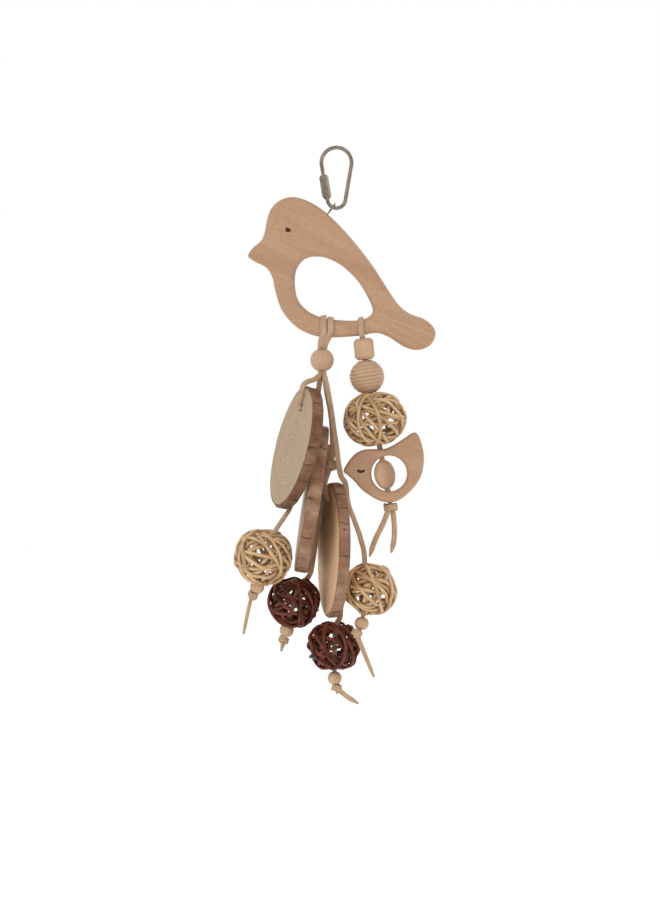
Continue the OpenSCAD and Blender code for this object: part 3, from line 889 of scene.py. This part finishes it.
def make_ball(letter, centre, lean, radius, seed, paint, count=19, squash=1.0, clear=3.5):
    """Cane loops that pass over and under each other round a hollow ball. squash shortens it
    along its lace, and clear keeps the canes that many millimetres from the lace."""
    cane, samples, most_lift = 2.0, 76, 0.85
    rng = random.Random(seed)
    axis = Vector((math.sin(math.radians(lean)), 0, math.cos(math.radians(lean))))
    loops = ball_loops(rng, axis, count, clear / radius)
    paths = []
    for normal, reach in loops:
        u = normal.orthogonal().normalized()
        w = normal.cross(u)
        wave, turn = rng.uniform(0.02, 0.07), rng.uniform(0, 6.28)
        path = []
        for k in range(samples):
            a = 2 * math.pi * k / samples
            tilt = reach + wave * math.sin(2 * a + turn)
            path.append(math.cos(tilt) * normal
                        + math.sin(tilt) * (math.cos(a) * u + math.sin(a) * w))
        paths.append(path)
    spheres = [np.array([tuple(p) for p in path]) for path in paths]
    lifts = [np.zeros(samples) for _ in loops]
    reach_of_lift = 1.25 * cane / radius
    for i in range(count):
        for j in range(i + 1, count):
            near = np.arccos(np.clip(spheres[i] @ spheres[j].T, -1, 1))
            crossing = np.array(tuple(loops[i][0].cross(loops[j][0])))
            for one, other, gap, way in ((i, j, near.min(1), 1), (j, i, near.min(0), -1)):
                over = np.sign(spheres[one] @ crossing) * way
                lifts[one] += over * np.exp(-(gap / reach_of_lift) ** 2)
    strands = []
    section = [(u, v * 0.86) for u, v in round_section(cane / 2, 9)]
    for i, path in enumerate(paths):
        lift = np.clip(lifts[i] * 0.6, -most_lift, most_lift)
        for _ in range(2):
            lift = (np.roll(lift, 1) + 2 * lift + np.roll(lift, -1)) / 4
        line = []
        for k, p in enumerate(path):
            size = radius - (most_lift + 0.5) * cane + float(lift[k]) * cane
            local = p * size
            line.append(Vector(centre) + local - axis * local.dot(axis) * (1 - squash))
        frames = []
        for k in range(samples):
            tangent = (line[(k + 1) % samples] - line[k - 1]).normalized()
            out = (line[k] - Vector(centre)).normalized()
            frames.append((tangent, tangent.cross(out).normalized()))
        made, quads, places = swept(line, frames, section, closed=True)
        strands.append((made, quads, [(x, y + 7.3 * i, z + 3.1 * i) for x, y, z in places]))
    points, faces, grain = joined(strands)
    make_piece(f"ball_{letter}_cane", points, faces, paint, f"ball_{letter}",
               f"rattan_ball_{letter}", grain)


make_ball("a", (-41.6, -8, -231.9), 17.6, 17.3, 11, PALE_CANE)
make_ball("b", (-24.3, 11, -258.5), 16.3, 15.7, 23, DARK_CANE, count=17)
make_ball("c", (-1.1, 6, -283.4), 0, 16.5, 37, DARK_CANE, count=18,
          squash=0.93, clear=6.5)
make_ball("d", (19.4, 0, -250.6), 3, 16.0, 41, PALE_CANE)
make_ball("e", on_string(24.3), -STRING_LEAN, 18.7, 53, PALE_CANE, count=21,
          squash=0.87)

# ---------------- suede laces and knots

LACE_WIDE = 3.1
LACE_THICK = 1.3
# Each hanging lace's middle line, from below the round bead to its cut end
ROUTE_A = [(-9.4, -1.2, -127.6), (-10.2, -1.8, -129.2), (-12.7, -3.2, -131.2),
           (-16.3, -4.9, -132.4), (-18.9, -6, -134.7), (-20.3, -6.4, -140.7),
           (-21.4, -6.4, -145), (-20.4, -6, -147.1), (-13.9, -4, -149.4), (-13.2, -3.6, -151.8),
           (-14.6, -3.5, -158.6), (-19, -3.4, -175.1), (-24.5, -3.5, -196.4), (-26.3, -3.9, -204.1),
           (-29.2, -5.3, -208.9), (-35, -7.6, -217.7), (-41.6, -8, -231.9), (-45.9, -8, -247.5),
           (-47.6, -8, -252.5), (-50, -8.4, -262), (-52.8, -8.6, -275.8)]
ROUTE_B = [(-9.3, 1.2, -127.6), (-10.4, 4, -138), (-12.6, 8, -149), (-14, 10.3, -156.8),
           (-14.7, 10.8, -163.6), (-13.9, 11, -167.1), (-5.3, 11.1, -169), (-4.4, 11.4, -172.3),
           (-5.4, 11.5, -180.8), (-8.3, 11.5, -200.6), (-12.5, 11.5, -228.2), (-14.7, 11.4, -241.1),
           (-17.2, 11.2, -245.4), (-21, 11, -249.4), (-24.3, 11, -258.5), (-28.4, 11, -273.4),
           (-30, 11, -279.6), (-31.8, 10.8, -287)]
ROUTE_C = [(-7, 1.2, -127.6), (-5.6, 2, -138), (-3.3, 3, -150), (-2.3, 3.6, -163),
           (-2.6, 4.2, -177), (-4.7, 4.5, -184), (-6.6, 5, -190.3), (-6.1, 5.2, -195.8),
           (-4.6, 5.5, -199), (2.9, 6.5, -199.9), (4.1, 6.7, -203), (3.8, 6.8, -212.5),
           (3.3, 6.8, -233.5), (2.5, 6.6, -261.5), (2, 6.6, -267.2), (-0.2, 6.1, -271.6),
           (-1.1, 6, -283.4), (-1, 6, -300.5), (0, 5.8, -306.6), (5, 5, -311.5), (12.6, 4, -316.3)]
ROUTE_D = [(-7, -1.2, -127.6), (-4.9, -2, -138), (-3, -2.6, -149), (-1.4, -3, -160),
           (0.2, -3, -171), (1.4, -2.6, -181), (2.8, -1.1, -186.6), (4.7, 1, -189.4),
           (5.6, 1.9, -193.1), (6.1, 2, -198.6), (7.5, 1.4, -204.4), (10.4, 0.5, -212),
           (13.8, -0.1, -222), (16, -0.7, -234.5), (15, -2.6, -267), (13.4, -5, -272.5),
           (11.3, -6.6, -275.2), (14.6, -8.4, -283.5), (21.2, -9.4, -300)]


def lace_section(wide, thick):
    """A flat strap with rounded edges."""
    corner = thick * 0.42
    made = []
    for cx, cy, first in ((1, 1, 0), (-1, 1, 90), (-1, -1, 180), (1, -1, 270)):
        for k in range(3):
            a = math.radians(first + 45 * k)
            made.append((cx * (wide / 2 - corner) + corner * math.cos(a),
                         cy * (thick / 2 - corner) + corner * math.sin(a)))
    return made


def make_lace(name, route, body, nodes, far_end, seed, spin=0.0, pinches=(),
              wide=LACE_WIDE):
    """A flat suede lace along a route, which turns by spin degrees on the way. pinches are
    (place, reach) pairs where a bore or knot squeezes it. A free end is cut to a point."""
    pointed = far_end != "object"
    path, cut_points = smooth_path(route, 0.9), 6
    frames, count = [], len(path)
    for i, (tangent, across) in enumerate(carried_sides(path, (1, 0, 0))):
        turn = math.radians(spin * i / count + 9 * math.sin(i * 0.11 + seed))
        frames.append((tangent, across * math.cos(turn) + tangent.cross(across) * math.sin(turn)))
    scale = []
    for i, point in enumerate(path):
        narrow = max((math.exp(-((point - Vector(p)).length / reach) ** 4) for p, reach in pinches),
                     default=0.0)
        wear = 0.05 * noise.noise(Vector((i * 0.13, seed, 0)))
        cut = 0.14 * max(0, i - count + cut_points) if pointed else 0.0
        scale.append((1 - 0.26 * narrow + wear - cut, 1 + 0.1 * narrow - wear))
    points, faces, grain = swept(path, frames, lace_section(wide, LACE_THICK), scale=scale)
    piece = make_piece(name, points, faces, SUEDE, body, nodes,
                       [(x + 31 * seed, y, z) for x, y, z in grain])


def make_knot(name, centre, lean, wide, high, body, node, seed):
    """An overhand knot: the lace wraps round itself twice and tucks through."""
    rng = random.Random(seed)
    place = placed(centre, lean, rng.uniform(0, 360))
    radius = wide / 2 - LACE_THICK / 2
    wrap = []
    turns, steps = 1.9, 40
    for k in range(steps + 1):
        a = 2 * math.pi * turns * k / steps
        wrap.append(Vector((radius * math.cos(a), radius * 0.9 * math.sin(a),
                            (high - 2.2) * (k / steps - 0.5))))
    tuck = [(-radius * 0.9, 0.4, -high * 0.42), (-radius * 0.4, -radius * 0.98, -high * 0.1),
            (radius * 0.45, -radius * 1.0, high * 0.14), (radius * 0.95, 0.2, high * 0.4)]
    straps = []
    for line, wide_scale in ((wrap, 0.72), (smooth_path(tuck, 0.8), 0.8)):
        path = [place @ p for p in line]
        axis = place.to_3x3() @ Vector((0, 0, 1))
        frames = [(t, (axis - axis.dot(t) * t).normalized()) for t in tangents(path)]
        straps.append(swept(path, frames, lace_section(LACE_WIDE * wide_scale, LACE_THICK)))
    points, faces, grain = joined(straps)
    return make_piece(name, points, faces, SUEDE, body, node, grain)


KNOTS = {"a": ((-47.4, -8, -253.6), 16, 4.8), "b": ((-30.1, 11, -280.2), 15, 4.8),
         "c": ((0, 5.9, -307.4), 20, 5), "d": ((11.3, -6.6, -275), 30, 4.8)}
SLICE_KNOT = (-2.7, 4.2, -179.6)
END_KNOT = on_string(75.3)
for seed, (letter, (centre, lean, high)) in enumerate(KNOTS.items(), 5):
    make_knot(f"knot_{letter}_suede", centre, lean, 6.2, high, f"strand_{letter}",
                              f"knot_{letter}", seed)
slice_knot = make_knot("slice_knot_suede", SLICE_KNOT, 20, 6.8, 6, "strand_c", "slice_knot", 71)
end_knot = make_knot("end_knot_suede", END_KNOT, -STRING_LEAN, 8.2, 4, "string", "end_knot", 81)


def bar_side(top, bottom):
    """(y, z) up the front of the bar, whose wood runs between two heights at this place."""
    return [(2.4, bottom - 1.6), (4.4, bottom - 0.2), (5.5, bottom + 1.3), (5.85, bottom + 3),
            (5.85, top - 3), (4.7, top - 0.3), (2.1, top + 0.8), (0, top + 0.85)]


def bar_loop(leg_x, leg_y, bar_x, low, side):
    """A lace from a bead's bore up in front of the bar, over it and down behind it."""
    start = side[0][1]
    front = [Vector((leg_x, -leg_y, low)), Vector((leg_x, -leg_y, low + (start - low) * 0.6))]
    for y, z in side:
        share = min(1.0, (z - start) / 7 + 0.2)
        front.append(Vector((leg_x + (bar_x - leg_x) * share, -y, z)))
    return front + [Vector((p.x, -p.y, p.z)) for p in reversed(front[:-1])]


left_side = bar_side(-96.0, -106.7)
inner_side = bar_side(-96.9, -107.0)
right_side = bar_side(-97.1, -106.0)
left_side[0] = inner_side[0] = (2.4, -110.5)
for seed, (place_name, leg_x, bar_x, side) in enumerate((("outer", -9.3, -7.4, left_side),
                                                          ("inner", -7.1, -3.4, inner_side)), 1):
    make_lace(f"left_loop_{place_name}_suede", bar_loop(leg_x, 0.7, bar_x, -123.2, side),
              "bundle", f"left_loop_{place_name}", "object", seed,
              pinches=[((leg_x, y, -120), 7) for y in (-0.7, 0.7)], wide=3.6)
make_lace("right_loop_suede", bar_loop(15.1, 0.8, 13.8, -109, right_side), "bird", "right_loop",
          "object", 3)


def make_strand_lace(letter, route, spin, seed, squeezes=()):
    """A lace that starts inside the round bead's bore and ends below its own bead and knot."""
    x, y, z = route[0]
    make_lace(f"lace_{letter}_suede", [(x, 0.6 * y, z + 3.4), *route], f"strand_{letter}",
              f"lace_{letter}", "knot", seed, spin,
              [(route[0], 1.5), *squeezes, (STOP_BEADS[letter][0], 3.6), (KNOTS[letter][0], 2.6)])


make_strand_lace("a", ROUTE_A, 40, 4, [((-17.2, -5, -148.3), 4.2)])
make_strand_lace("b", ROUTE_B, -30, 5, [((-9.6, 11, -168), 5)])
make_strand_lace("c", ROUTE_C, 30, 6, [((-0.8, 6, -199.4), 4.2), (SLICE_KNOT, 3)])
make_strand_lace("d", ROUTE_D, -60, 7)

STRING_TOP = [(15.1, -108.6), (16.4, -120.2), (17.4, -129.6), (21.74, -153.5), (27.6, -185.7),
              (30.5, -201.8)]
TAILS = {"left": (-0.75, [(29.3, -1.4, -206), (26.6, -2.4, -213), (22, -2.6, -222.5),
                          (18.8, -2.4, -232)]),
         "right": (0.75, [(32, 0.6, -206), (33, 1.6, -214), (32.8, 1.6, -222.5),
                          (31.2, 1.4, -230)])}
for seed, (hand, (y, tail)) in enumerate(TAILS.items(), 8):
    route = [Vector((x, y, z)) for x, z in STRING_TOP] + [Vector(p) for p in tail]
    make_lace(f"string_lace_{hand}_suede", route, "string", ["string_lace", f"tail_{hand}"],
              "bare", seed, pinches=[((15.7, y, -113.8), 6), (GROOVED, 8), (END_KNOT, 3)])
